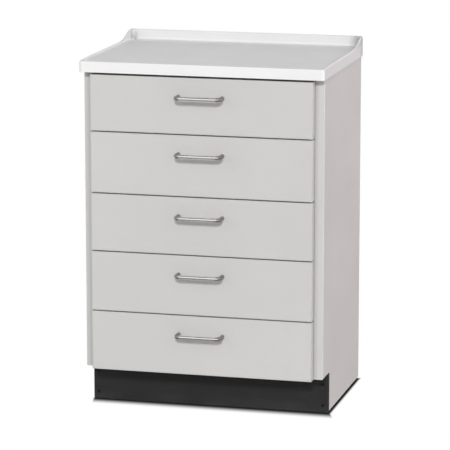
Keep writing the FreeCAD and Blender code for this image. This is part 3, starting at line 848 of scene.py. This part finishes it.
def pull_bow():
    """The first drawer's pull: a ring pushed out, turned, run across, turned and pushed back."""
    low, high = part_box("drawer_1_pull")
    radius = (high.z - low.z) / 2
    foot_x = low.x + radius
    bar_y = low.y + radius
    height = (high.z + low.z) / 2
    bpy.ops.object.select_all(action="DESELECT")
    bpy.ops.mesh.primitive_circle_add(
        vertices=pull_sides, radius=radius, location=(foot_x, high.y, height),
        rotation=(math.radians(90), 0, 0))
    piece = added("pull_1")
    edit(piece, "VERT")
    bpy.ops.mesh.select_all(action="SELECT")
    push(y=bar_y + pull_bend - high.y)
    first = Vector((foot_x + pull_bend, bar_y + pull_bend, height))
    second = Vector((-first.x, first.y, first.z))
    quarter_turn = math.radians(-90)
    bpy.ops.mesh.spin(steps=pull_bend_steps, angle=quarter_turn, center=first, axis=(0, 0, 1))
    push(x=second.x - first.x)
    bpy.ops.mesh.spin(steps=pull_bend_steps, angle=quarter_turn, center=second, axis=(0, 0, 1))
    push(y=high.y - bar_y - pull_bend)
    bpy.ops.mesh.select_all(action="SELECT")
    bpy.ops.mesh.remove_doubles(threshold=touching)
    bpy.ops.mesh.fill_holes(sides=0)
    bpy.ops.mesh.normals_make_consistent(inside=False)
    pick("EDGE", lambda a, b: near(a.y, high.y) and near(b.y, high.y))
    bpy.ops.mesh.bevel(offset=arris, segments=arris_segments, affect="EDGES")
    done()
    finish_surface(piece)
    return piece


def copied(piece, name, shift):
    """A copy with its own mesh, moved, and its place kept in its mesh."""
    twin = piece.copy()
    twin.data = piece.data.copy()
    twin.name = name
    twin.data.name = name
    bpy.context.scene.collection.objects.link(twin)
    twin.location = shift
    only(twin)
    bpy.ops.object.transform_apply(location=True, rotation=True, scale=True)
    return twin


def pulls():
    first = pull_bow()
    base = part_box("drawer_1_pull")[0].z
    for n in DRAWERS:
        node = f"drawer_{n}_pull"
        shift = Vector((0, 0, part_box(node)[0].z - base))
        piece = first if n == 1 else copied(first, f"pull_{n}", shift)
        put(piece, f"drawer_{n}", nickel, "bright_pull", node)


moulded_top()
for n in DRAWERS:
    drawer_front(n)
side_panel("left_side_panel", left_band)
side_panel("right_side_panel", right_band)
pulls()

dress(melamine, "deck_panel")
dress(rail_board, "top_front_rail", "top_rear_rail")
dress(chip, "top_board")
dress(back_board, "back_panel")
dress(charcoal, "toe_kick")
dress(oxide, "toe_kick_screws")
dress(plastic, "floor_glides")
dress(zinc_plate, "top_screws", "runner_screws")
dress(die_cast, "cam_locks")
dress(powder, "cabinet_runners")
for n in DRAWERS:
    d = f"drawer_{n}_"
    dress(melamine, d + "box_sides", d + "box_ends")
    dress(hardboard, d + "bottom")
    dress(zinc_plate, d + "screws")
    dress(powder, d + "runners")
    dress(roller_nylon, d + "rear_rollers", d + "front_rollers")


def floor():
    """A white floor that shows the camera only a painted soft contact shadow, as a studio sweep does."""
    bpy.ops.object.select_all(action="DESELECT")
    bpy.ops.mesh.primitive_circle_add(vertices=floor_sides, radius=floor_radius, fill_type="NGON")
    made = added("floor")
    f = Finish("floor_white")
    f.tree.nodes.remove(f.shader)
    panel_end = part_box("right_side_panel")[1]
    kick_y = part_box("toe_kick")[0].y
    path = f.node("ShaderNodeLightPath")
    ahead = f.minus(kick_y, f.along("Y"))
    afar = f.spread(ahead, mirror_near, mirror_far)
    mirrored = f.mix(afar, (floor_mirror,) * 3, (floor_mirror_far,) * 3)
    shade = f.mix(path.outputs["Is Glossy Ray"], (floor_bounce,) * 3, mirrored)
    diffuse = f.node("ShaderNodeBsdfDiffuse")
    f.link(shade, diffuse.inputs["Color"])
    lean = f.product(f.larger(ahead, 0.0), shadow_lean)
    across = f.minus(f.along("X"), f.plus(lean, shadow_shift))
    beside = f.minus(f.absolute(across), panel_end.x)
    behind = f.minus(f.along("Y"), panel_end.y - shadow_rear_inset)
    before = f.product(ahead, shadow_reach / shadow_front_reach)
    outside = f.larger(beside, f.larger(before, behind))
    away = f.spread(outside, 0.0, shadow_reach)
    away.node.interpolation_type = "SMOOTHSTEP"
    # Camera rays see a glow: a painted contact shadow near the foot, white beyond
    glow = f.node("ShaderNodeEmission")
    f.link(f.mix(away, (shadow_tone,) * 3, PLAIN), glow.inputs["Color"])
    blend = f.node("ShaderNodeMixShader")
    f.link(path.outputs["Is Camera Ray"], blend.inputs["Fac"])
    f.link(diffuse.outputs["BSDF"], blend.inputs[1])
    f.link(glow.outputs["Emission"], blend.inputs[2])
    output = f.tree.nodes["Material Output"]
    f.link(blend.outputs["Shader"], output.inputs["Surface"])
    made.data.materials.append(f.material)


def softbox(name, place, power, tint):
    """A square of light that faces the middle of the cabinet."""
    data = bpy.data.lights.new(name, "AREA")
    data.shape = "RECTANGLE"
    data.size, data.size_y = softbox_size
    data.energy = power
    data.color = tint
    low, high = packed_box
    lamp = bpy.data.objects.new(name, data)
    lamp.location = place
    lamp.rotation_euler = ((low + high) / 2 - place).to_track_quat("-Z", "Y").to_euler()
    bpy.context.scene.collection.objects.link(lamp)


def ramp(tree, height, levels):
    """Grey levels from the horizon up to the zenith."""
    made = tree.nodes.new("ShaderNodeValToRGB")
    tree.links.new(height, made.inputs["Fac"])
    stops = made.color_ramp.elements
    for position, level in levels[1:-1]:
        stops.new(position)
    for stop, (position, level) in zip(stops, levels):
        stop.position = position
        stop.color = (level, level, level, 1.0)
    return made.outputs["Color"]


def sky():
    """White where the camera sees it, grey overhead for the light, and a darker ceiling in mirrors."""
    world = bpy.data.worlds.new("studio")
    bpy.context.scene.world = world
    world.use_nodes = True
    tree = world.node_tree
    back = tree.nodes["Background"]
    place = tree.nodes.new("ShaderNodeTexCoord")
    split = tree.nodes.new("ShaderNodeSeparateXYZ")
    path = tree.nodes.new("ShaderNodeLightPath")
    tree.links.new(place.outputs["Generated"], split.inputs["Vector"])
    height = split.outputs["Z"]
    lit = tuple((position, level * sky_strength) for position, level in sky_levels)
    seen = ramp(tree, height, lit)
    for ray, levels in (("Is Glossy Ray", mirror_levels), ("Is Camera Ray", backdrop_levels)):
        mix = tree.nodes.new("ShaderNodeMix")
        mix.data_type = "RGBA"
        tree.links.new(path.outputs[ray], mix.inputs["Factor"])
        tree.links.new(seen, mix.inputs[6])
        tree.links.new(ramp(tree, height, levels), mix.inputs[7])
        seen = mix.outputs[2]
    tree.links.new(seen, back.inputs["Color"])


def studio():
    sky()
    key = bpy.data.lights.new("key", "SUN")
    key.energy = key_strength
    key.angle = key_softness
    lamp = bpy.data.objects.new("key", key)
    lamp.rotation_euler = (-key_direction).to_track_quat("-Z", "Y").to_euler()
    bpy.context.scene.collection.objects.link(lamp)
    softbox("right_softbox", right_place, right_power, right_tint)
    softbox("rear_softbox", rear_place, rear_power, rear_tint)
    softbox("left_softbox", left_place, left_power, left_tint)
    view = bpy.context.scene.view_settings
    view.view_transform = "Standard"
    view.look = "None"


def camera():
    data = bpy.data.cameras.new("camera")
    data.lens = camera_lens
    data.sensor_width = camera_sensor
    data.clip_end = camera_reach
    made = bpy.data.objects.new("camera", data)
    made.location = camera_place
    made.rotation_euler = (camera_target - camera_place).to_track_quat("-Z", "Y").to_euler()
    bpy.context.scene.collection.objects.link(made)
    bpy.context.scene.camera = made


floor()
studio()
camera()
